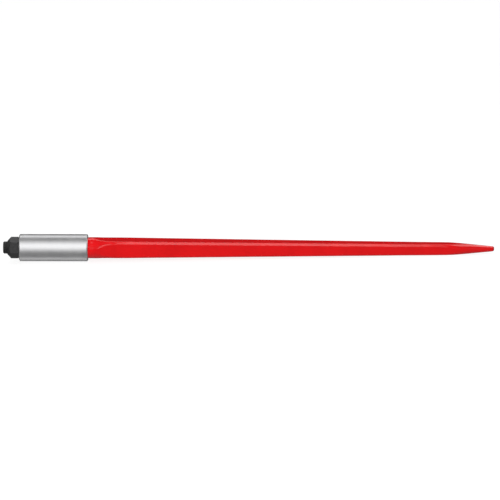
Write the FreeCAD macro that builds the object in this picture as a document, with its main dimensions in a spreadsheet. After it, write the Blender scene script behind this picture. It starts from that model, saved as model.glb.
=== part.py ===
import FreeCAD, Part
import math
import os

import Sketcher

# A bale spear: a forged tine for carrying bales, its weld-in sleeve and its lock nut.
#
# Frame: +X runs along the spear towards its point, +Z is up, and the origin is on the axis at the
# middle of the sleeve. Every body is drawn about its own datum on that axis, and its Placement puts
# it where it seats. Millimetres and degrees.

SIZES = [
    # The weld-in sleeve, turned from bar; its bore tapers down towards the nut.
    ("sleeve_diameter", 60.3),
    ("sleeve_length", 152.4),
    ("sleeve_chamfer", 2.0),
    ("bore_front_diameter", 46.5),
    ("bore_rear_diameter", 31.26),
    # The tapered shank stops short of the sleeve's back face, so that the nut can draw it home.
    ("shank_back_gap", 5.4),
    # The round root stands in front of the sleeve; its cone runs on a little way out of the bore.
    ("root_diameter", 47.0),
    ("cone_runout", 5.0),
    # Where the flats begin, the forging swells, so that the square's corners stand proud of the root.
    ("swell_diameter", 50.0),
    # The threaded stud, plain at the root diameter of its M28 x 1.5 thread.
    ("stud_diameter", 26.2),
    ("stud_overhang", 36.0),
    ("stud_chamfer", 2.0),
    ("undercut_diameter", 24.6),
    ("undercut_width", 3.5),
    # The four flats are forged into the round root, the side pair a little further along it.
    ("flat_start_top", 13.0),
    ("flat_start_side", 22.0),
    ("flat_settled_top", 46.0),
    ("flat_settled_side", 55.0),
    # Stations of the square blade, from the sleeve's front face, with the width across its flats.
    ("blade_start", 60.0),
    ("blade_start_width", 39.1),
    ("shoulder_at", 130.0),
    ("shoulder_width", 37.5),
    ("waist_at", 690.0),
    ("waist_width", 26.5),
    ("neck_at", 815.0),
    ("neck_width", 24.6),
    ("point_at", 903.5),
    ("point_width", 20.5),
    ("blade_corner_radius", 5.5),
    # The cone that is turned on the square to make the point.
    ("cone_start_at", 795.0),
    ("cone_start_diameter", 31.6),
    ("cone_end_diameter", 10.8),
    ("point_radius", 3.5),
    # The lock nut: a hexagon with a long conical crown and a chamfered seat.
    ("nut_across_flats", 42.0),
    ("nut_height", 26.8),
    ("nut_bore", 26.4),
    ("nut_crown_diameter", 30.0),
    ("nut_crown_length", 8.4),
    ("nut_seat_diameter", 40.0),
    ("nut_seat_chamfer", 2.4),
    ("nut_mouth_chamfer", 1.2),
    ("nut_turn", 14.5),
]

# How far a cutting outline reaches past the stock that it trims.
CLEAR_OF_STOCK = 8.0
HEXAGON_SIDES = 6


class Dim:
    """A length that knows its value and the spreadsheet expression that gives it."""

    def __init__(self, value, text):
        self.value = value
        self.text = text

    def _with(self, other, sign, value):
        text = other.text if isinstance(other, Dim) else repr(float(other))
        return Dim(value, f"({self.text} {sign} {text})")

    def __add__(self, other):
        return self._with(other, "+", self.value + number(other))

    def __sub__(self, other):
        return self._with(other, "-", self.value - number(other))

    def __mul__(self, other):
        return self._with(other, "*", self.value * number(other))

    def __truediv__(self, other):
        return self._with(other, "/", self.value / number(other))

    def __neg__(self):
        return self * -1.0


def number(length):
    return length.value if isinstance(length, Dim) else float(length)


def fill_sheet(doc):
    """Writes SIZES into the document's spreadsheet and returns them as Dims, by name."""
    sheet = doc.addObject("Spreadsheet::Sheet", "sizes")
    dims = {}
    for row, (name, value) in enumerate(SIZES, start=1):
        sheet.set(f"A{row}", name)
        sheet.set(f"B{row}", str(value))
        sheet.setAlias(f"B{row}", name)
        dims[name] = Dim(value, f"sizes.{name}")
    doc.recompute()
    return dims


# ---- sketching -----------------------------------------------------------------------------------

ORIGIN = (-1, 1)
START = 1
END = 2


def add_body(doc, name):
    body = doc.addObject("PartDesign::Body", name)
    body.Label = name
    return body


def add_sketch(body, name, plane, offset=None):
    """A sketch on one of the body's own origin planes, offset along that plane's normal."""
    sketch = body.newObject("Sketcher::SketchObject", name)
    support = next(f for f in body.Origin.OriginFeatures if f.Role == plane)
    sketch.AttachmentSupport = [(support, "")]
    sketch.MapMode = "FlatFace"
    if offset is not None:
        sketch.AttachmentOffset.Base.z = number(offset)
        sketch.setExpression("AttachmentOffset.Base.z", offset.text)
    return sketch


def bind(sketch, kind, where, length):
    """Adds a dimension to the sketch and ties it to the spreadsheet."""
    index = sketch.addConstraint(Sketcher.Constraint(kind, *where, number(length)))
    if isinstance(length, Dim):
        sketch.setExpression(f"Constraints[{index}]", length.text)


def fix_point(sketch, geometry, end, x, y):
    """Pins a point at (x, y) from the sketch's origin; a plain 0 puts it on the axis."""
    for kind, axis, length in (("DistanceX", -2, x), ("DistanceY", -1, y)):
        if number(length) == 0.0:
            sketch.addConstraint(Sketcher.Constraint("PointOnObject", geometry, end, axis))
        else:
            bind(sketch, kind, (*ORIGIN, geometry, end), length)


def vector(point):
    return FreeCAD.Vector(number(point[0]), number(point[1]), 0.0)


def arc_into_line(start, end, beyond):
    """The arc between start and end that leaves end in the direction of beyond, and whether it turns
    left on its way. A sketch's arcs all run to the left, so one that doesn't is drawn from its end."""
    along = (beyond - end).normalize()
    across = FreeCAD.Vector(-along.y, along.x, 0.0)
    chord = start - end
    centre = end + across * (chord.dot(chord) / (2.0 * chord.dot(across)))
    outward = (start - centre).normalize() + (end - centre).normalize()
    middle = centre + outward.normalize() * (start - centre).Length
    turns_left = chord.dot(across) > 0.0
    if turns_left:
        return Part.Arc(start, middle, end), True
    return Part.Arc(end, middle, start), False


def closed_outline(sketch, points, arcs=()):
    """Draws straight edges from point to point and back to the first. The edges whose numbers are in
    arcs are arcs instead, tangent to the edge that follows them."""
    first = sketch.GeometryCount
    count = len(points)
    head = {}
    tail = {}
    for i in range(count):
        start = vector(points[i])
        end = vector(points[(i + 1) % count])
        head[i], tail[i] = START, END
        if i in arcs:
            edge, turns_left = arc_into_line(start, end, vector(points[(i + 2) % count]))
            if not turns_left:
                head[i], tail[i] = END, START
        else:
            edge = Part.LineSegment(start, end)
        sketch.addGeometry(edge, False)
    for i in range(count):
        after = (i + 1) % count
        joint = (first + i, tail[i], first + after, head[after])
        kind = "Tangent" if i in arcs else "Coincident"
        sketch.addConstraint(Sketcher.Constraint(kind, *joint))
    for i, (x, y) in enumerate(points):
        fix_point(sketch, first + i, head[i], x, y)


def corner_square(sketch, width, radius, centred):
    """A square with round corners, its flats square to the sketch's axes. The corner arcs are either
    fillets, or parts of one circle about the origin, as where flats are cut on a round bar."""
    half = number(width) / 2.0
    if centred:
        reach = math.sqrt(number(radius) ** 2 - half**2)
        middle = 0.0
    else:
        reach = half - number(radius)
        middle = reach
    first = sketch.GeometryCount
    for quarter in range(4):
        turn = FreeCAD.Rotation(FreeCAD.Vector(0, 0, 1), 90.0 * quarter)
        flat_start = turn.multVec(FreeCAD.Vector(half, -reach, 0))
        flat_end = turn.multVec(FreeCAD.Vector(half, reach, 0))
        centre = turn.multVec(FreeCAD.Vector(middle, middle, 0))
        corner_end = turn.multVec(FreeCAD.Vector(reach, half, 0))
        diagonal = turn.multVec(FreeCAD.Vector(1, 1, 0)).normalize()
        corner_middle = centre + diagonal * number(radius)
        sketch.addGeometry(Part.LineSegment(flat_start, flat_end), False)
        sketch.addGeometry(Part.Arc(flat_end, corner_middle, corner_end), False)
    join = "Coincident" if centred else "Tangent"
    for edge in range(8):
        after = (edge + 1) % 8
        joint = (first + edge, END, first + after, START)
        sketch.addConstraint(Sketcher.Constraint(join, *joint))
    for quarter in range(4):
        flat = first + 2 * quarter
        upright = quarter % 2 == 0
        if centred:
            sketch.addConstraint(Sketcher.Constraint("Coincident", flat + 1, 3, *ORIGIN))
            sketch.addConstraint(Sketcher.Constraint("Vertical" if upright else "Horizontal", flat))
        kind = "DistanceX" if upright else "DistanceY"
        side = width / 2.0 if quarter in (0, 1) else -(width / 2.0)
        bind(sketch, kind, (*ORIGIN, flat, START), side)
    if centred:
        bind(sketch, "Radius", (first + 1,), radius)
    else:
        for quarter in range(4):
            bind(sketch, "Radius", (first + 2 * quarter + 1,), radius)


# ---- features ------------------------------------------------------------------------------------


def turn(body, kind, name, sketch):
    """A full Revolution or Groove of the sketch about the body's X axis."""
    feature = body.newObject(f"PartDesign::{kind}", name)
    feature.Profile = sketch
    feature.ReferenceAxis = (sketch, ["H_Axis"])
    feature.Angle = 360.0
    body.Tip = feature
    return feature


def cut_through(body, name, sketch):
    """A Pocket that goes right through the body on both sides of its sketch."""
    pocket = body.newObject("PartDesign::Pocket", name)
    pocket.Profile = sketch
    pocket.Type = "ThroughAll"
    pocket.SideType = "Symmetric"
    body.Tip = pocket
    return pocket


# ---- the spear -----------------------------------------------------------------------------------


def forged_blank(body, d):
    """The turned back half: threaded stud, undercut, tapered shank, and the round root and its swell."""
    back = -d["sleeve_length"]
    small_end = back + d["shank_back_gap"]
    taper = (d["bore_front_diameter"] - d["bore_rear_diameter"]) / d["sleeve_length"]
    small_radius = (d["bore_rear_diameter"] + d["shank_back_gap"] * taper) / 2.0
    tail = back - d["stud_overhang"]
    stud_radius = d["stud_diameter"] / 2.0
    undercut_radius = d["undercut_diameter"] / 2.0
    undercut_start = small_end - d["undercut_width"]
    root_radius = d["root_diameter"] / 2.0
    sketch = add_sketch(body, "blank_outline", "XZ_Plane")
    closed_outline(
        sketch,
        [
            (tail, 0.0),
            (tail, stud_radius - d["stud_chamfer"]),
            (tail + d["stud_chamfer"], stud_radius),
            (undercut_start, stud_radius),
            (undercut_start, undercut_radius),
            (small_end, undercut_radius),
            (small_end, small_radius),
            (d["cone_runout"], root_radius),
            (d["flat_start_top"], root_radius),
            (d["blade_start"], d["swell_diameter"] / 2.0),
            (d["blade_start"], 0.0),
        ],
    )
    turn(body, "Revolution", "blank", sketch)


def root_flats(body, d, name, plane, start, settled):
    """One opposite pair of flats, sunk into the round root by a die with a rounded edge: each run-out
    is an arc that settles into the blade's own slope."""
    slope = (d["blade_start_width"] - d["shoulder_width"]) / (d["shoulder_at"] - d["blade_start"])
    end_half = d["blade_start_width"] / 2.0
    settled_half = end_half + (d["blade_start"] - settled) * slope / 2.0
    swell = (d["swell_diameter"] - d["root_diameter"]) / (d["blade_start"] - d["flat_start_top"]) / 2.0
    start_radius = d["root_diameter"] / 2.0 + (start - d["flat_start_top"]) * swell
    outside = d["swell_diameter"] / 2.0 + CLEAR_OF_STOCK
    sketch = add_sketch(body, name + "_outline", plane)
    for side in (1.0, -1.0):
        closed_outline(
            sketch,
            [
                (start, start_radius * side),
                (settled, settled_half * side),
                (d["blade_start"], end_half * side),
                (d["blade_start"], outside * side),
                (start, outside * side),
            ],
            arcs=(0,),
        )
    cut_through(body, name, sketch)


def square_blade(body, d):
    """The long square blade, drawn out in four stretches. Its first section has the round swell still
    showing at its corners, and the rest have forged corners of one radius."""
    corner = d["blade_corner_radius"]
    stations = [
        ("blade_start", "blade_start_width", d["swell_diameter"] / 2.0, True),
        ("shoulder_at", "shoulder_width", corner, False),
        ("waist_at", "waist_width", corner, False),
        ("neck_at", "neck_width", corner, False),
        ("point_at", "point_width", corner, False),
    ]
    sketches = []
    for place, width, radius, centred in stations:
        sketch = add_sketch(body, "section_" + place, "YZ_Plane", d[place])
        corner_square(sketch, d[width], radius, centred)
        sketches.append(sketch)
    loft = body.newObject("PartDesign::AdditiveLoft", "blade")
    loft.Profile = sketches[0]
    loft.Sections = sketches[1:]
    loft.Ruled = True
    body.Tip = loft


def turned_point(body, d):
    """The cone that trims the square to a point, so that its flats run out in curved tongues."""
    start = d["cone_start_at"]
    end = d["point_at"] + 1.0
    start_radius = d["cone_start_diameter"] / 2.0
    end_radius = d["cone_end_diameter"] / 2.0
    slope = (start_radius - end_radius) / (d["point_at"] - start)
    sketch = add_sketch(body, "point_outline", "XZ_Plane")
    closed_outline(
        sketch,
        [
            (start, start_radius),
            (end, end_radius - slope),
            (end, start_radius + CLEAR_OF_STOCK),
            (start, start_radius + CLEAR_OF_STOCK),
        ],
    )
    turn(body, "Groove", "point_cone", sketch)


def blunt_point(doc, body, d):
    """Rounds the edge between the cone and the small flat at its end."""
    doc.recompute()
    base = body.Tip
    at = number(d["point_at"])
    names = []
    for i, edge in enumerate(base.Shape.Edges, start=1):
        box = edge.BoundBox
        if box.XMin > at - 1e-3 and box.XMax < at + 1e-3:
            names.append(f"Edge{i}")
    fillet = body.newObject("PartDesign::Fillet", "blunt_end")
    fillet.Base = (base, names)
    fillet.Radius = number(d["point_radius"])
    fillet.setExpression("Radius", d["point_radius"].text)
    body.Tip = fillet


def make_spear(doc, d):
    """One forging. Its datum is where its axis meets the sleeve's front face."""
    body = add_body(doc, "spear")
    forged_blank(body, d)
    root_flats(body, d, "top_flats", "XZ_Plane", d["flat_start_top"], d["flat_settled_top"])
    root_flats(body, d, "side_flats", "XY_Plane", d["flat_start_side"], d["flat_settled_side"])
    square_blade(body, d)
    turned_point(body, d)
    blunt_point(doc, body, d)
    body.setExpression("Placement.Base.x", (d["sleeve_length"] / 2.0).text)
    return body


# ---- the sleeve ----------------------------------------------------------------------------------


def make_weld_sleeve(doc, d):
    """A turned bush with chamfered rims and a bore that tapers from its front to its back."""
    body = add_body(doc, "weld_sleeve")
    half = d["sleeve_length"] / 2.0
    radius = d["sleeve_diameter"] / 2.0
    chamfer = d["sleeve_chamfer"]
    sketch = add_sketch(body, "sleeve_outline", "XZ_Plane")
    closed_outline(
        sketch,
        [
            (-half, d["bore_rear_diameter"] / 2.0),
            (-half, radius - chamfer),
            (-half + chamfer, radius),
            (half - chamfer, radius),
            (half, radius - chamfer),
            (half, d["bore_front_diameter"] / 2.0),
        ],
    )
    turn(body, "Revolution", "turned_sleeve", sketch)
    return body


# ---- the nut -------------------------------------------------------------------------------------


def nut_blank(body, d):
    """The hexagon bar with its bore, from the seat back to the end of the crown."""
    corner = d["nut_across_flats"] / math.sqrt(3.0)
    points = []
    for i in range(HEXAGON_SIDES):
        angle = math.tau * (i + 0.5) / HEXAGON_SIDES
        points.append((corner * math.cos(angle), corner * math.sin(angle)))
    sketch = add_sketch(body, "hexagon", "YZ_Plane")
    closed_outline(sketch, points)
    bore = sketch.addGeometry(Part.Circle(FreeCAD.Vector(), FreeCAD.Vector(0, 0, 1), 1.0), False)
    sketch.addConstraint(Sketcher.Constraint("Coincident", bore, 3, *ORIGIN))
    bind(sketch, "Diameter", (bore,), d["nut_bore"])
    pad = body.newObject("PartDesign::Pad", "hexagon_bar")
    pad.Profile = sketch
    pad.Reversed = True
    pad.setExpression("Length", d["nut_height"].text)
    body.Tip = pad


def nut_chamfers(body, d):
    """Turned on the hexagon: the conical crown, the seat's chamfer and the mouth of the thread."""
    height = d["nut_height"]
    reach = d["nut_across_flats"] / math.sqrt(3.0)
    crown_radius = d["nut_crown_diameter"] / 2.0
    seat_radius = d["nut_seat_diameter"] / 2.0
    bore_radius = d["nut_bore"] / 2.0
    chamfer = d["nut_mouth_chamfer"]
    sketch = add_sketch(body, "turned_faces", "XZ_Plane")
    closed_outline(
        sketch,
        [
            (-height, crown_radius),
            (-height + d["nut_crown_length"], reach),
            (-height + d["nut_crown_length"], reach + CLEAR_OF_STOCK),
            (-height, reach + CLEAR_OF_STOCK),
        ],
    )
    closed_outline(
        sketch,
        [
            (0.0, seat_radius),
            (0.0, reach + CLEAR_OF_STOCK),
            (-d["nut_seat_chamfer"], reach + CLEAR_OF_STOCK),
            (-d["nut_seat_chamfer"], reach),
        ],
    )
    closed_outline(
        sketch,
        [
            (0.0, bore_radius - chamfer),
            (0.0, bore_radius + chamfer),
            (-chamfer, bore_radius),
            (-chamfer, bore_radius - chamfer),
        ],
    )
    turn(body, "Groove", "turned_chamfers", sketch)


def make_lock_nut(doc, d):
    """The nut's datum is the middle of its seat, which bears on the sleeve's back face."""
    body = add_body(doc, "lock_nut")
    nut_blank(body, d)
    nut_chamfers(body, d)
    body.Placement.Rotation = FreeCAD.Rotation(FreeCAD.Vector(1, 0, 0), number(d["nut_turn"]))
    body.setExpression("Placement.Rotation.Angle", d["nut_turn"].text)
    body.setExpression("Placement.Base.x", (-(d["sleeve_length"] / 2.0)).text)
    return body


# ---- writing the parts ---------------------------------------------------------------------------


def check(doc, bodies):
    """Stops on any failed feature and on any body whose shape isn't one valid solid."""
    failed = [o.Name for o in doc.Objects if "Invalid" in o.State or "Error" in o.State]
    if failed:
        raise RuntimeError(f"failed features: {failed}")
    for body in bodies:
        shape = body.Shape
        if shape.isNull() or not shape.isValid() or len(shape.Solids) != 1:
            raise RuntimeError(f"{body.Label} isn't one valid solid")


def main():
    doc = FreeCAD.newDocument("bale_spear")
    d = fill_sheet(doc)
    bodies = [make_spear(doc, d), make_weld_sleeve(doc, d), make_lock_nut(doc, d)]
    doc.recompute()
    check(doc, bodies)
    os.makedirs("parts", exist_ok=True)
    for body in bodies:
        body.Shape.exportStep(f"parts/{body.Label}.step")
        box = body.Shape.BoundBox
        print(f"{body.Label}: {box.XLength:.1f} x {box.YLength:.1f} x {box.ZLength:.1f} mm,"
              f" {body.Shape.Volume / 1000.0:.1f} cm3, {len(body.Shape.Faces)} faces")


main()
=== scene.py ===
import math

import bpy
import numpy as np
from mathutils import Matrix, Vector, noise


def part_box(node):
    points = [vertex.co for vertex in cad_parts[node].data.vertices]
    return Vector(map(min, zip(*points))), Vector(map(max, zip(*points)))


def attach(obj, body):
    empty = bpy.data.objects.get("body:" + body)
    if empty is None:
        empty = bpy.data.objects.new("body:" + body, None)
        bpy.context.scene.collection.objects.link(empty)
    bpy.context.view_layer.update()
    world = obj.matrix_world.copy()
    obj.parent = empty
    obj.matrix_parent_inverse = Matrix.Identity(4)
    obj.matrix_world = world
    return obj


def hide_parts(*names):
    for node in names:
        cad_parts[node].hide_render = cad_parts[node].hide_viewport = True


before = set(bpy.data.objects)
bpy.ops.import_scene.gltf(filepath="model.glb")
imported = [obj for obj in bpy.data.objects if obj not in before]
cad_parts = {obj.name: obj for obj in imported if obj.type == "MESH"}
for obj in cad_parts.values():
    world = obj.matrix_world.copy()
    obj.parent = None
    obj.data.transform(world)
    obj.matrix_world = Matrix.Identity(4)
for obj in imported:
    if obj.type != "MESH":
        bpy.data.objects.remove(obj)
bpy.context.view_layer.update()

MM = 0.001
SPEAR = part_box("spear")
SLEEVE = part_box("weld_sleeve")
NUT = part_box("lock_nut")

# ---- sizes, in millimetres, along the spear's axis from the sleeve's front face ---------------------

FRONT = SLEEVE[1].x / MM
SLEEVE_LENGTH = (SLEEVE[1].x - SLEEVE[0].x) / MM
SLEEVE_RADIUS = SLEEVE[1].z / MM
SLEEVE_CHAMFER = 2.0
BORE_FRONT_RADIUS = 23.25
BORE_BACK_RADIUS = 15.63
STUD_END = SPEAR[0].x / MM - FRONT
POINT_END = SPEAR[1].x / MM - FRONT
NUT_LENGTH = (NUT[1].x - NUT[0].x) / MM
BACK = -SLEEVE_LENGTH

ROOT_RADIUS = 23.5
SWELL_RADIUS = 25.0
CONE_RUNOUT = 5.0
THREAD_PITCH = 1.5
THREAD_CREST = 13.9
THREAD_ROOT = 13.1
STUD_CHAMFER = 2.0
SHANK_GAP = 5.4
CAP_RING = 0.4
SPEAR_EDGE = 0.25
SPEAR_SIDES = 168
CORNER_CROWDING = 0.55
POINT_STEPS = 8

# The crest stops and the root resumes just inside the nut's mouth, on either side of the thread's end.
NUT_MOUTH = BACK - NUT_LENGTH
CREST_STOP = 1.4
ROOT_RESUME = 1.6
THREAD_END = NUT_MOUTH + 1.5
THREAD_FADE_END = 0.9
THREAD_FADE_LENGTH = 0.8

BLADE_START = 60.0
STATIONS = (BLADE_START, 130.0, 690.0, 815.0, POINT_END)
HALF_WIDTHS = (19.55, 18.75, 13.25, 12.3, 10.25)
CORNER_RADIUS = 5.5
TOP_RUNOUT = (13.0, 46.0)
SIDE_RUNOUT = (22.0, 55.0)
CONE_START = 795.0
CONE_START_RADIUS = 15.8
CONE_LEAD = 75.0
POINT_RADIUS = 5.4
POINT_ROUNDING = 3.5

NUT_HALF_FLATS = 21.0
NUT_BORE_RADIUS = 13.2
NUT_MOUTH_RADIUS = 14.1
CROWN_RADIUS = 15.0
CROWN_LENGTH = 8.4
SEAT_RADIUS = 20.0
SEAT_CHAMFER = 2.4
SEAT_MOUTH_CHAMFER = 1.2
CROWN_MOUTH_CHAMFER = 0.9
NUT_BORE_SEAM = 8.0
NUT_CORNER_RADIUS = 0.8
NUT_CREASE = 0.5
NUT_EDGE = 0.4
NUT_SPACING = 0.7
NUT_SIDES = 216
NUT_TURN = math.radians(14.5)

SLEEVE_EDGE = 0.35
SLEEVE_SPACING = 4.0
SLEEVE_SIDES = 160

# How widely the creases beside the flats are rounded: softly at the run-outs and at the cone.
CREASE_AT = (10.0, 18.0, 50.0, 110.0, 780.0, 800.0)
CREASE_WIDTHS = (0.3, 1.6, 1.6, 0.15, 0.15, 0.8)

# The forging's unevenness: its height, its length along and round the blade, and where it sets in.
WAVE_HEIGHT = 0.10
WAVE_LENGTH = 34.0
WAVE_GIRTH = 15.0
WAVE_START = 8.0
WAVE_GROWTH = 30.0

# The distance between the rings: inside the sleeve, at the run-outs and the point, and on the blade.
HIDDEN_SPACING = 20.0
DETAIL_SPACING = 0.9
BLADE_SPACING = 6.0
RUNOUTS_END = 75.0
POINT_DETAIL_START = 780.0

# The floor touches the sleeve's front rim and the blade's flat at its neck.
NECK = (FRONT + STATIONS[3], -HALF_WIDTHS[3])
RIM = (FRONT - SLEEVE_CHAMFER, -SLEEVE_RADIUS)
FLOOR_CLEARANCE = 0.15
FLOOR_HALF = 12.0
FLOOR_GREY = 0.30
FLOOR_GLOW = 0.84


# ---- surfaces swept along the axis ------------------------------------------------------------------


def rounded(points, radius, steps=4):
    """A path through the points (x, r) with each inner corner turned on a small radius."""
    path = [points[0]]
    for before, corner, after in zip(points, points[1:], points[2:]):
        c = np.array(corner)
        to_before = np.array(before) - c
        to_after = np.array(after) - c
        reach = min(radius, 0.45 * np.hypot(*to_before), 0.45 * np.hypot(*to_after))
        start = c + to_before / np.hypot(*to_before) * reach
        end = c + to_after / np.hypot(*to_after) * reach
        for i in range(steps + 1):
            t = i / steps
            path.append(tuple((1 - t) ** 2 * start + 2 * t * (1 - t) * c + t * t * end))
    path.append(points[-1])
    return path


def filled(path, spacing):
    """The path with points added so that none are further apart than spacing(x)."""
    dense = [path[0]]
    for a, b in zip(path, path[1:]):
        length = math.hypot(b[0] - a[0], b[1] - a[1])
        count = max(1, math.ceil(length / spacing((a[0] + b[0]) / 2)))
        for i in range(1, count + 1):
            t = i / count
            dense.append((a[0] + (b[0] - a[0]) * t, a[1] + (b[1] - a[1]) * t))
    return dense


def soft_min(a, b, width):
    """The smaller of a and b, with the crease between them rounded over about that width."""
    gap = np.clip(0.5 + 0.5 * (b - a) / width, 0.0, 1.0)
    return b * (1 - gap) + a * gap - width * gap * (1 - gap)


def swept_mesh(name, path, angles, reach, closed):
    """A mesh of rings round the axis, one for each point (x, r) of the path. reach gives each ring's
    radii. A closed path makes a ring-shaped solid, and an open one is capped at its two ends."""
    count = len(angles)
    rings = []
    for x, r in path:
        radii = reach(x, r, angles)
        ring = np.stack([np.full(count, x + FRONT), radii * np.cos(angles), radii * np.sin(angles)], 1)
        rings.append(ring * MM)
    vertices = np.concatenate(rings)
    faces = []
    total = len(path)
    last = total if closed else total - 1
    for i in range(last):
        a = i * count
        b = (i + 1) % total * count
        for j in range(count):
            k = (j + 1) % count
            faces.append((a + j, a + k, b + k, b + j))
    if not closed:
        ends = [((path[0][0] + FRONT) * MM, 0, 0), ((path[-1][0] + FRONT) * MM, 0, 0)]
        vertices = np.concatenate([vertices, np.array(ends)])
        tail = total * count
        head = tail + 1
        front_ring = (total - 1) * count
        for j in range(count):
            k = (j + 1) % count
            faces.append((tail, k, j))
            faces.append((head, front_ring + j, front_ring + k))
    mesh = bpy.data.meshes.new(name)
    mesh.from_pydata(vertices.tolist(), [], faces)
    mesh.polygons.foreach_set("use_smooth", [True] * len(mesh.polygons))
    mesh.validate()
    mesh.update()
    piece = bpy.data.objects.new(name, mesh)
    bpy.context.scene.collection.objects.link(piece)
    return piece


def even_angles(count):
    return np.arange(count) * math.tau / count


# ---- the spear --------------------------------------------------------------------------------------


def swell(x):
    """The radius of the round root, which swells to where the blade begins."""
    return float(np.interp(x, (TOP_RUNOUT[0], BLADE_START), (ROOT_RADIUS, SWELL_RADIUS)))


def runout(x, start, settled):
    """Half the width across one pair of flats: an arc out of the round root, then the blade's line."""
    slope = (HALF_WIDTHS[0] - HALF_WIDTHS[1]) / (STATIONS[1] - STATIONS[0])
    if x >= BLADE_START:
        return np.interp(x, STATIONS, HALF_WIDTHS)
    half = HALF_WIDTHS[0] + (BLADE_START - x) * slope
    if x < settled:
        sunk = HALF_WIDTHS[0] + (BLADE_START - settled) * slope
        half += (swell(start) - sunk) * ((settled - x) / (settled - start)) ** 2
    return half


def square_reach(x, angles):
    """How far the four flats and their forged corners let the surface go, at each angle."""
    half_side = runout(x, *SIDE_RUNOUT)
    half_top = runout(x, *TOP_RUNOUT)
    u = np.abs(np.cos(angles)) + 1e-9
    v = np.abs(np.sin(angles)) + 1e-9
    flat = np.minimum(half_side / u, half_top / v)
    cy = half_side - CORNER_RADIUS
    cz = half_top - CORNER_RADIUS
    along = cy * u + cz * v
    under = along**2 - (cy**2 + cz**2 - CORNER_RADIUS**2)
    corner = along + np.sqrt(np.maximum(under, 0.0))
    in_corner = (flat * u > cy) & (flat * v > cz)
    return np.where(in_corner, corner, flat)


def thread_reach(x, angles):
    """A right-hand thread of its pitch, which fades out just inside the nut's mouth."""
    turn = (x - STUD_END) / THREAD_PITCH - angles / math.tau
    wave = np.abs(2 * (turn - np.floor(turn)) - 1)
    height = np.clip(wave * 1.3 - 0.15, 0.0, 1.0)
    fade = np.clip((NUT_MOUTH + THREAD_FADE_END - x) / THREAD_FADE_LENGTH, 0.0, 1.0)
    return THREAD_ROOT + (THREAD_CREST - THREAD_ROOT) * height * fade


def forging_waviness(x, angles, radii):
    """The long shallow unevenness that forging leaves on the blade, about a tenth of a millimetre."""
    grow = np.clip((x - WAVE_START) / WAVE_GROWTH, 0.0, 1.0) * WAVE_HEIGHT
    if grow == 0.0:
        return 0.0
    lift = []
    for angle, radius in zip(angles, radii):
        across = radius * math.cos(angle) / WAVE_GIRTH
        upward = radius * math.sin(angle) / WAVE_GIRTH
        spot = Vector((x / WAVE_LENGTH, across, upward))
        lift.append(noise.noise(spot) + 0.5 * noise.noise(spot * 2.7))
    return grow * np.array(lift)


def spear_reach(x, r, angles):
    """Each ring's radii: the thread on the stud, the round shank and root, then the square blade."""
    if x < THREAD_END:
        return soft_min(thread_reach(x, angles), np.full(len(angles), r), 0.08)
    if x < 2.0:
        return np.full(len(angles), r)
    crease = float(np.interp(x, CREASE_AT, CREASE_WIDTHS))
    radii = soft_min(square_reach(x, angles), np.full(len(angles), r), crease)
    return np.maximum(radii + forging_waviness(x, angles, radii), 0.0)


def spear_spacing(x):
    """Rings are close where the thread, the run-outs and the point are, and far apart elsewhere."""
    if x < THREAD_END:
        return THREAD_PITCH / 12
    if x < 0:
        return HIDDEN_SPACING
    if x < RUNOUTS_END or x > POINT_DETAIL_START:
        return DETAIL_SPACING
    return BLADE_SPACING


def spear_outline():
    """The turned outline (x, r) of the stud, shank, root and cone, from the stud's end to the point."""
    shank_end = BACK + SHANK_GAP
    shank_slope = (BORE_FRONT_RADIUS - BORE_BACK_RADIUS) / SLEEVE_LENGTH
    shank_radius = BORE_BACK_RADIUS + SHANK_GAP * shank_slope
    cone_slope = (CONE_START_RADIUS - POINT_RADIUS) / (POINT_END - CONE_START)
    outline = [
        (STUD_END, CAP_RING),
        (STUD_END, THREAD_CREST - STUD_CHAMFER),
        (STUD_END + STUD_CHAMFER, THREAD_CREST),
        (NUT_MOUTH + CREST_STOP, THREAD_CREST),
        (NUT_MOUTH + ROOT_RESUME, THREAD_ROOT),
        (shank_end, THREAD_ROOT),
        (shank_end, shank_radius),
        (0.0, BORE_FRONT_RADIUS),
        (CONE_RUNOUT, ROOT_RADIUS),
        (TOP_RUNOUT[0], ROOT_RADIUS),
        (BLADE_START, SWELL_RADIUS),
        (CONE_START - CONE_LEAD, SWELL_RADIUS),
        (CONE_START, CONE_START_RADIUS),
    ]
    path = rounded(outline, SPEAR_EDGE)
    start_of_rounding = POINT_END - POINT_ROUNDING
    path.append((start_of_rounding, POINT_RADIUS + cone_slope * POINT_ROUNDING))
    for i in range(1, POINT_STEPS + 1):
        turn = math.radians(i * 90 / POINT_STEPS)
        x = start_of_rounding + POINT_ROUNDING * math.sin(turn)
        path.append((x, POINT_RADIUS - POINT_ROUNDING * (1 - math.cos(turn))))
    path.append((POINT_END, CAP_RING))
    return path


def make_spear():
    """The forging, with more of its lengthwise lines at the blade's four corners."""
    uniform = even_angles(SPEAR_SIDES)
    angles = uniform + CORNER_CROWDING / 4 * np.sin(4 * uniform)
    path = filled(spear_outline(), spear_spacing)
    piece = swept_mesh("forged_spear", path, angles, spear_reach, False)
    piece.data.materials.append(red_enamel())
    piece.data.materials.append(blacked_steel("stud_black"))
    hidden = (SLEEVE[0].x + SLEEVE[1].x) / 2
    for face in piece.data.polygons:
        face.material_index = 1 if face.center.x < hidden else 0
    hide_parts("spear")
    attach(piece, "root")


# ---- the sleeve -------------------------------------------------------------------------------------


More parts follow.
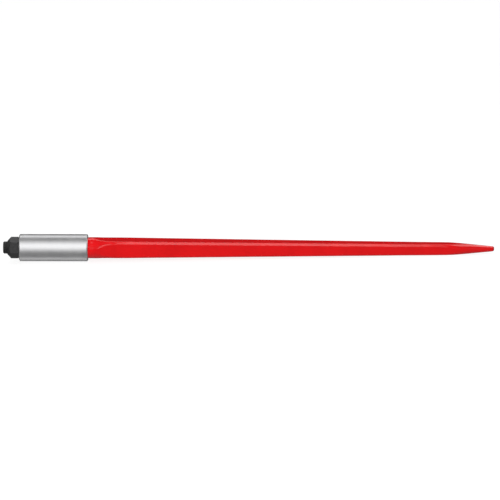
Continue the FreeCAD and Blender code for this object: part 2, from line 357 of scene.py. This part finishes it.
def make_sleeve():
    """The turned bush, as a closed ring round its tapered bore."""
    chamfer = SLEEVE_CHAMFER
    outline = [
        (BACK / 2, (BORE_BACK_RADIUS + BORE_FRONT_RADIUS) / 2),
        (BACK, BORE_BACK_RADIUS),
        (BACK, SLEEVE_RADIUS - chamfer),
        (BACK + chamfer, SLEEVE_RADIUS),
        (-chamfer, SLEEVE_RADIUS),
        (0.0, SLEEVE_RADIUS - chamfer),
        (0.0, BORE_FRONT_RADIUS),
        (BACK / 2, (BORE_BACK_RADIUS + BORE_FRONT_RADIUS) / 2),
    ]
    path = filled(rounded(outline, SLEEVE_EDGE), lambda x: SLEEVE_SPACING)[:-1]
    piece = swept_mesh(
        "turned_sleeve",
        path,
        even_angles(SLEEVE_SIDES),
        lambda x, r, angles: np.full(len(angles), r),
        True,
    )
    piece.data.materials.append(turned_steel())
    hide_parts("weld_sleeve")
    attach(piece, "root")
    return piece


# ---- the nut ----------------------------------------------------------------------------------------


def hexagon_reach(angles, half, corner):
    """The reach of a hexagon with rounded corners, at each angle from the middle of a flat."""
    sector = math.tau / 6
    off = np.abs((angles + sector / 2) % sector - sector / 2)
    flat = half / np.cos(off)
    centre = (half - corner) / math.cos(sector / 2)
    turn = sector / 2 - off
    along = centre * np.cos(turn)
    under = along**2 - centre**2 + corner**2
    rounded_corner = along + np.sqrt(np.maximum(under, 0.0))
    edge = math.atan2((half - corner) * math.tan(sector / 2), half)
    return np.where(off > edge, rounded_corner, flat)


def nut_reach(x, r, angles):
    """The turned outline, cut by the six flats."""
    from_flat = angles - math.pi / 2 - NUT_TURN
    hexagon = hexagon_reach(from_flat, NUT_HALF_FLATS, NUT_CORNER_RADIUS)
    return soft_min(hexagon, np.full(len(angles), r), NUT_CREASE)


def make_nut():
    """The lock nut, as a closed ring round its bore, with its long conical crown behind."""
    corner = NUT_HALF_FLATS / math.cos(math.pi / 6)
    beyond = corner + 1.0
    seat_rise = (corner - SEAT_RADIUS) / SEAT_CHAMFER
    crown_rise = (corner - CROWN_RADIUS) / CROWN_LENGTH
    outline = [
        (BACK - NUT_BORE_SEAM, NUT_BORE_RADIUS),
        (BACK - SEAT_MOUTH_CHAMFER, NUT_BORE_RADIUS),
        (BACK, NUT_BORE_RADIUS + SEAT_MOUTH_CHAMFER),
        (BACK, SEAT_RADIUS),
        (BACK - (beyond - SEAT_RADIUS) / seat_rise, beyond),
        (NUT_MOUTH + (beyond - CROWN_RADIUS) / crown_rise, beyond),
        (NUT_MOUTH, CROWN_RADIUS),
        (NUT_MOUTH, NUT_MOUTH_RADIUS),
        (NUT_MOUTH + CROWN_MOUTH_CHAMFER, NUT_BORE_RADIUS),
        (BACK - NUT_BORE_SEAM, NUT_BORE_RADIUS),
    ]
    path = filled(rounded(outline, NUT_EDGE), lambda x: NUT_SPACING)[:-1]
    piece = swept_mesh("hex_lock_nut", path, even_angles(NUT_SIDES), nut_reach, True)
    piece.data.materials.append(blacked_steel("nut_black"))
    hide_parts("lock_nut")
    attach(piece, "root")


# ---- materials --------------------------------------------------------------------------------------


NOISE_ROUGHNESS = 0.55


class Nodes:
    """A short way to build a node tree."""

    def __init__(self, tree):
        self.tree = tree
        tree.nodes.clear()

    def add(self, kind, **settings):
        node = self.tree.nodes.new(kind)
        for name, value in settings.items():
            setattr(node, name, value)
        return node

    def link(self, source, target):
        self.tree.links.new(source, target)

    def value(self, socket, source):
        if isinstance(source, bpy.types.NodeSocket):
            self.link(source, socket)
        else:
            socket.default_value = source

    def math(self, operation, a, b=0.0):
        node = self.add("ShaderNodeMath", operation=operation)
        self.value(node.inputs[0], a)
        self.value(node.inputs[1], b)
        return node.outputs[0]

    def position(self, scale=(1.0, 1.0, 1.0)):
        """The place on the object, in metres times scale."""
        place = self.add("ShaderNodeTexCoord").outputs["Object"]
        mapping = self.add("ShaderNodeMapping")
        mapping.inputs["Scale"].default_value = scale
        self.link(place, mapping.inputs["Vector"])
        return mapping.outputs["Vector"]

    def noise(self, vector, scale, detail=3.0):
        node = self.add("ShaderNodeTexNoise")
        node.inputs["Scale"].default_value = scale
        node.inputs["Detail"].default_value = detail
        node.inputs["Roughness"].default_value = NOISE_ROUGHNESS
        self.link(vector, node.inputs["Vector"])
        return node.outputs["Fac"]

    def spread(self, source, low, high, to_low, to_high):
        node = self.add("ShaderNodeMapRange", clamp=True)
        self.value(node.inputs["Value"], source)
        for name, value in (("From Min", low), ("From Max", high), ("To Min", to_low), ("To Max", to_high)):
            self.value(node.inputs[name], value)
        return node.outputs["Result"]

    def blend(self, factor, a, b):
        node = self.add("ShaderNodeMix", data_type="RGBA")
        self.value(node.inputs[0], factor)
        self.value(node.inputs[6], a)
        self.value(node.inputs[7], b)
        return node.outputs[2]

    def bump(self, height, distance, strength=1.0, normal=None):
        node = self.add("ShaderNodeBump")
        node.inputs["Distance"].default_value = distance
        node.inputs["Strength"].default_value = strength
        self.link(height, node.inputs["Height"])
        if normal is not None:
            self.link(normal, node.inputs["Normal"])
        return node.outputs["Normal"]


def new_material(name):
    material = bpy.data.materials.new(name)
    material.use_nodes = True
    nodes = Nodes(material.node_tree)
    shader = nodes.add("ShaderNodeBsdfPrincipled")
    output = nodes.add("ShaderNodeOutputMaterial")
    nodes.link(shader.outputs["BSDF"], output.inputs["Surface"])
    return material, nodes, shader


def red_enamel():
    """Bright red enamel on a forging: slight orange peel, scale marks under it, lighter edges that are
    partly a painted sheen, and a darker, rougher blunt end.
    """
    material, nodes, shader = new_material("red_enamel")
    place = nodes.position()
    cloud = nodes.noise(place, 18.0)
    colour = nodes.blend(
        nodes.spread(cloud, 0.35, 0.65, 0.0, 1.0),
        (0.74, 0.0025, 0.0045, 1.0),
        (0.82, 0.0035, 0.0060, 1.0),
    )
    # Painted sheen: the convex edges get a lighter red that stands in for their highlight, and partly for
    # worn paint.
    edge = nodes.add("ShaderNodeNewGeometry").outputs["Pointiness"]
    edge_wear_and_sheen = nodes.spread(edge, 0.515, 0.56, 0.0, 0.25)
    colour = nodes.blend(edge_wear_and_sheen, colour, (0.86, 0.012, 0.010, 1.0))
    # Over its last few millimetres the point turns darker and rougher, in patches.
    split = nodes.add("ShaderNodeSeparateXYZ")
    nodes.link(place, split.inputs[0])
    end = (FRONT + POINT_END) * MM
    toward_point_end = nodes.spread(split.outputs["X"], end - 3.2 * MM, end - 0.6 * MM, 0.0, 1.0)
    end_patches = nodes.spread(nodes.noise(place, 900.0), 0.35, 0.6, 0.35, 0.9)
    darker_point_end = nodes.math("MULTIPLY", toward_point_end, end_patches)
    colour = nodes.blend(darker_point_end, colour, (0.20, 0.035, 0.032, 1.0))
    nodes.link(colour, shader.inputs["Base Color"])
    gloss = nodes.spread(nodes.noise(place, 120.0), 0.3, 0.7, 0.08, 0.12)
    nodes.link(nodes.math("ADD", gloss, nodes.math("MULTIPLY", darker_point_end, 0.3)), shader.inputs["Roughness"])
    peel = nodes.bump(nodes.noise(place, 520.0, 2.0), 0.00004)
    marks = nodes.bump(nodes.noise(nodes.position((0.35, 1.0, 1.0)), 130.0, 4.0), 0.00012, 1.0, peel)
    nodes.link(marks, shader.inputs["Normal"])
    shader.inputs["IOR"].default_value = 1.5
    return material


def turned_steel():
    """Bright turned steel: fine rings round the axis, faint cloudiness."""
    material, nodes, shader = new_material("turned_steel")
    rings = nodes.noise(nodes.position((1.0, 0.02, 0.02)), 2600.0, 3.0)
    cloud = nodes.noise(nodes.position(), 45.0, 4.0)
    colour = nodes.blend(
        nodes.spread(cloud, 0.3, 0.7, 0.0, 1.0),
        (0.60, 0.60, 0.61, 1.0),
        (0.66, 0.66, 0.665, 1.0),
    )
    nodes.link(colour, shader.inputs["Base Color"])
    shader.inputs["Metallic"].default_value = 1.0
    shader.inputs["Anisotropic"].default_value = 0.6
    tangent = nodes.add("ShaderNodeTangent", direction_type="RADIAL", axis="X")
    nodes.link(tangent.outputs["Tangent"], shader.inputs["Tangent"])
    cloudy = nodes.spread(cloud, 0.3, 0.7, 0.28, 0.33)
    grooved = nodes.spread(rings, 0.3, 0.7, 0.0, 0.06)
    rough = nodes.math("ADD", cloudy, grooved)
    nodes.link(rough, shader.inputs["Roughness"])
    nodes.link(nodes.bump(rings, 0.000012), shader.inputs["Normal"])
    return material


def blacked_steel(name):
    """Blacked steel with lighter edges: rubbed bare steel, and partly a painted highlight along them."""
    material, nodes, shader = new_material(name)
    place = nodes.position()
    grain = nodes.noise(place, 420.0, 4.0)
    colour = nodes.blend(
        nodes.spread(grain, 0.3, 0.7, 0.0, 1.0),
        (0.022, 0.022, 0.023, 1.0),
        (0.042, 0.042, 0.043, 1.0),
    )
    # Partly painted highlight: the convex edges get a lighter grey, which also stands for worn-through
    # steel.
    edge = nodes.add("ShaderNodeNewGeometry").outputs["Pointiness"]
    edge_wear_and_sheen = nodes.math(
        "MULTIPLY",
        nodes.spread(edge, 0.51, 0.60, 0.0, 1.0),
        nodes.spread(nodes.noise(place, 1100.0), 0.4, 0.6, 0.2, 0.8),
    )
    colour = nodes.blend(edge_wear_and_sheen, colour, (0.16, 0.155, 0.15, 1.0))
    nodes.link(colour, shader.inputs["Base Color"])
    nodes.link(nodes.spread(grain, 0.3, 0.7, 0.34, 0.50), shader.inputs["Roughness"])
    nodes.link(nodes.bump(grain, 0.00005), shader.inputs["Normal"])
    shader.inputs["Metallic"].default_value = 0.25
    return material


# ---- the studio -------------------------------------------------------------------------------------

CENTRE_X = (FRONT + 360.4) * MM
VIEW_ELEVATION = math.radians(19.5)
CAMERA_DISTANCE = 8.0
FRAME_WIDTH = 1.11245
AIM_BELOW_AXIS = 0.00418
CAMERA_ROLL = math.radians(0.148)
SENSOR = 36.0


def make_camera():
    """In front of the spear and a little above it, square to its axis but for a slight roll."""
    toward = Vector((0, -math.cos(VIEW_ELEVATION), math.sin(VIEW_ELEVATION)))
    up = Vector((0, math.sin(VIEW_ELEVATION), math.cos(VIEW_ELEVATION)))
    data = bpy.data.cameras.new("camera")
    data.sensor_width = SENSOR
    data.lens = SENSOR * CAMERA_DISTANCE / FRAME_WIDTH
    data.clip_end = 100.0
    camera = bpy.data.objects.new("camera", data)
    aim = Vector((CENTRE_X, 0, 0)) - up * AIM_BELOW_AXIS
    camera.location = aim + toward * CAMERA_DISTANCE
    facing = toward.to_track_quat("Z", "Y").to_matrix()
    camera.rotation_euler = (facing @ Matrix.Rotation(CAMERA_ROLL, 3, "Z")).to_euler()
    bpy.context.scene.collection.objects.link(camera)
    bpy.context.scene.camera = camera


def panel_light(name, x_range, elevations, distance, radiance):
    """A soft panel along the spear's axis: elevation 0 is in front of it and 90 is above it."""
    low, high = (math.radians(e) for e in elevations)
    width = x_range[1] - x_range[0]
    height = 2 * distance * math.tan((high - low) / 2)
    data = bpy.data.lights.new(name, "AREA")
    data.shape = "RECTANGLE"
    data.size = width
    data.size_y = height
    data.energy = radiance * math.pi * width * height
    lamp = bpy.data.objects.new(name, data)
    middle = (low + high) / 2
    toward = Vector((0, -math.cos(middle), math.sin(middle)))
    lamp.location = Vector((CENTRE_X + sum(x_range) / 2, 0, 0)) + toward * distance
    lamp.rotation_euler = toward.to_track_quat("Z", "Y").to_euler()
    bpy.context.scene.collection.objects.link(lamp)
    return lamp


def light_only(lamp, piece):
    """The lamp lights this piece and nothing else."""
    lit = bpy.data.collections.new(lamp.name + "_lit")
    lit.objects.link(piece)
    lamp.light_linking.receiver_collection = lit


def light_all_but(lamp, piece):
    """The lamp lights everything except this piece."""
    lit = bpy.data.collections.new(lamp.name + "_lit")
    lit.objects.link(piece)
    lit.collection_objects[0].light_linking.link_state = "EXCLUDE"
    lamp.light_linking.receiver_collection = lit


# Angle round the axis in degrees (0 in front, 90 above, 180 behind, -90 below), and the light there.
WORLD_BAND = (
    (-180, 0.05),
    (-135, 0.12),
    (-112, 0.30),
    (-70, 0.30),
    (-58, 0.26),
    (-25, 0.22),
    (-12, 0.17),
    (5, 0.17),
    (60, 0.17),
    (84, 0.17),
    (112, 0.10),
    (118, 1.60),
    (139, 1.60),
    (146, 0.04),
    (180, 0.04),
)


def make_world():
    """White to the camera. Round the axis it is a dim studio, with a brighter band above and behind."""
    world = bpy.data.worlds.new("studio")
    world.use_nodes = True
    bpy.context.scene.world = world
    nodes = Nodes(world.node_tree)
    direction = nodes.add("ShaderNodeTexCoord").outputs["Generated"]
    split = nodes.add("ShaderNodeSeparateXYZ")
    nodes.link(direction, split.inputs[0])
    forward = nodes.math("MULTIPLY", split.outputs["Y"], -1.0)
    around = nodes.math("ARCTAN2", split.outputs["Z"], forward)
    share = nodes.spread(around, -math.pi, math.pi, 0.0, 1.0)
    ramp = nodes.add("ShaderNodeValToRGB")
    nodes.link(share, ramp.inputs["Fac"])
    ramp.color_ramp.elements.remove(ramp.color_ramp.elements[1])
    for i, (degrees, level) in enumerate(WORLD_BAND):
        at = (degrees + 180) / 360
        element = ramp.color_ramp.elements[0] if i == 0 else ramp.color_ramp.elements.new(at)
        element.position = at
        element.color = (level, level, level, 1)
    dim = nodes.add("ShaderNodeBackground")
    nodes.link(ramp.outputs["Color"], dim.inputs["Color"])
    dim.inputs["Strength"].default_value = 1.0
    white = nodes.add("ShaderNodeBackground")
    white.inputs["Color"].default_value = (1, 1, 1, 1)
    seen = nodes.add("ShaderNodeLightPath").outputs["Is Camera Ray"]
    mixed = nodes.add("ShaderNodeMixShader")
    nodes.link(seen, mixed.inputs[0])
    nodes.link(dim.outputs[0], mixed.inputs[1])
    nodes.link(white.outputs[0], mixed.inputs[2])
    output = nodes.add("ShaderNodeOutputWorld")
    nodes.link(mixed.outputs[0], output.inputs["Surface"])


def white_floor():
    """Pale paper that glows white to the camera, and is clear from below."""
    material = bpy.data.materials.new("floor_white")
    material.use_nodes = True
    nodes = Nodes(material.node_tree)
    paper = nodes.add("ShaderNodeBsdfDiffuse")
    paper.inputs["Color"].default_value = (FLOOR_GREY, FLOOR_GREY, FLOOR_GREY, 1)
    glow = nodes.add("ShaderNodeEmission")
    seen = nodes.add("ShaderNodeLightPath").outputs["Is Camera Ray"]
    nodes.link(nodes.math("MULTIPLY", seen, FLOOR_GLOW), glow.inputs["Strength"])
    both = nodes.add("ShaderNodeAddShader")
    nodes.link(paper.outputs[0], both.inputs[0])
    nodes.link(glow.outputs[0], both.inputs[1])
    clear = nodes.add("ShaderNodeBsdfTransparent")
    under = nodes.add("ShaderNodeMixShader")
    nodes.link(nodes.add("ShaderNodeNewGeometry").outputs["Backfacing"], under.inputs[0])
    nodes.link(both.outputs[0], under.inputs[1])
    nodes.link(clear.outputs[0], under.inputs[2])
    output = nodes.add("ShaderNodeOutputMaterial")
    nodes.link(under.outputs[0], output.inputs["Surface"])
    return material


def make_floor():
    """A white floor that shows only a faint shadow, and nothing at all from below."""
    slope = math.atan2(NECK[1] - RIM[1], NECK[0] - RIM[0])
    half = FLOOR_HALF
    mesh = bpy.data.meshes.new("floor")
    corners = [(-half, -half, 0), (half, -half, 0), (half, half, 0), (-half, half, 0)]
    mesh.from_pydata(corners, [], [(0, 1, 2, 3)])
    floor = bpy.data.objects.new("floor", mesh)
    floor.location = Vector((RIM[0], 0, RIM[1] - FLOOR_CLEARANCE)) * MM
    floor.rotation_euler = (0, -slope, 0)
    floor.visible_glossy = False
    floor.visible_diffuse = False
    floor.visible_shadow = False
    bpy.context.scene.collection.objects.link(floor)
    mesh.materials.append(white_floor())


# The light tent round the sleeve: from and to elevation in degrees, and the light there.
SLEEVE_TENT = (
    (-100, -78, 0.60),
    (-20, -5, 0.25),
    (-5, 8, 0.75),
    (8, 22, 1.35),
    (22, 42, 1.60),
    (42, 55, 1.35),
    (55, 68, 0.85),
    (68, 84, 0.35),
)
TENT_REACH = (-1.90, 1.10)
TENT_DISTANCE = 1.5


def make_lights(sleeve):
    """A key for the ridge, a glint that only shows in the point, a soft fill, and the sleeve's tent."""
    key = panel_light("key", x_range=(-0.41, 0.62), elevations=(0, 105), distance=3.0, radiance=2.2)
    light_all_but(key, sleeve)
    glint = panel_light(
        "point_glint", x_range=(1.05, 1.50), elevations=(75, 150), distance=3.0, radiance=3.2
    )
    glint.visible_diffuse = False
    light_all_but(glint, sleeve)
    fill = panel_light("fill", x_range=(-1.40, 1.00), elevations=(2, 35), distance=1.25, radiance=2.4)
    fill.visible_glossy = False
    for i, (low, high, radiance) in enumerate(SLEEVE_TENT):
        strip = panel_light("tent_%d" % i, TENT_REACH, (low, high), TENT_DISTANCE, radiance)
        light_only(strip, sleeve)


def main():
    make_spear()
    sleeve = make_sleeve()
    make_nut()
    make_world()
    make_lights(sleeve)
    make_floor()
    make_camera()
    bpy.context.scene.view_settings.view_transform = "Standard"


main()
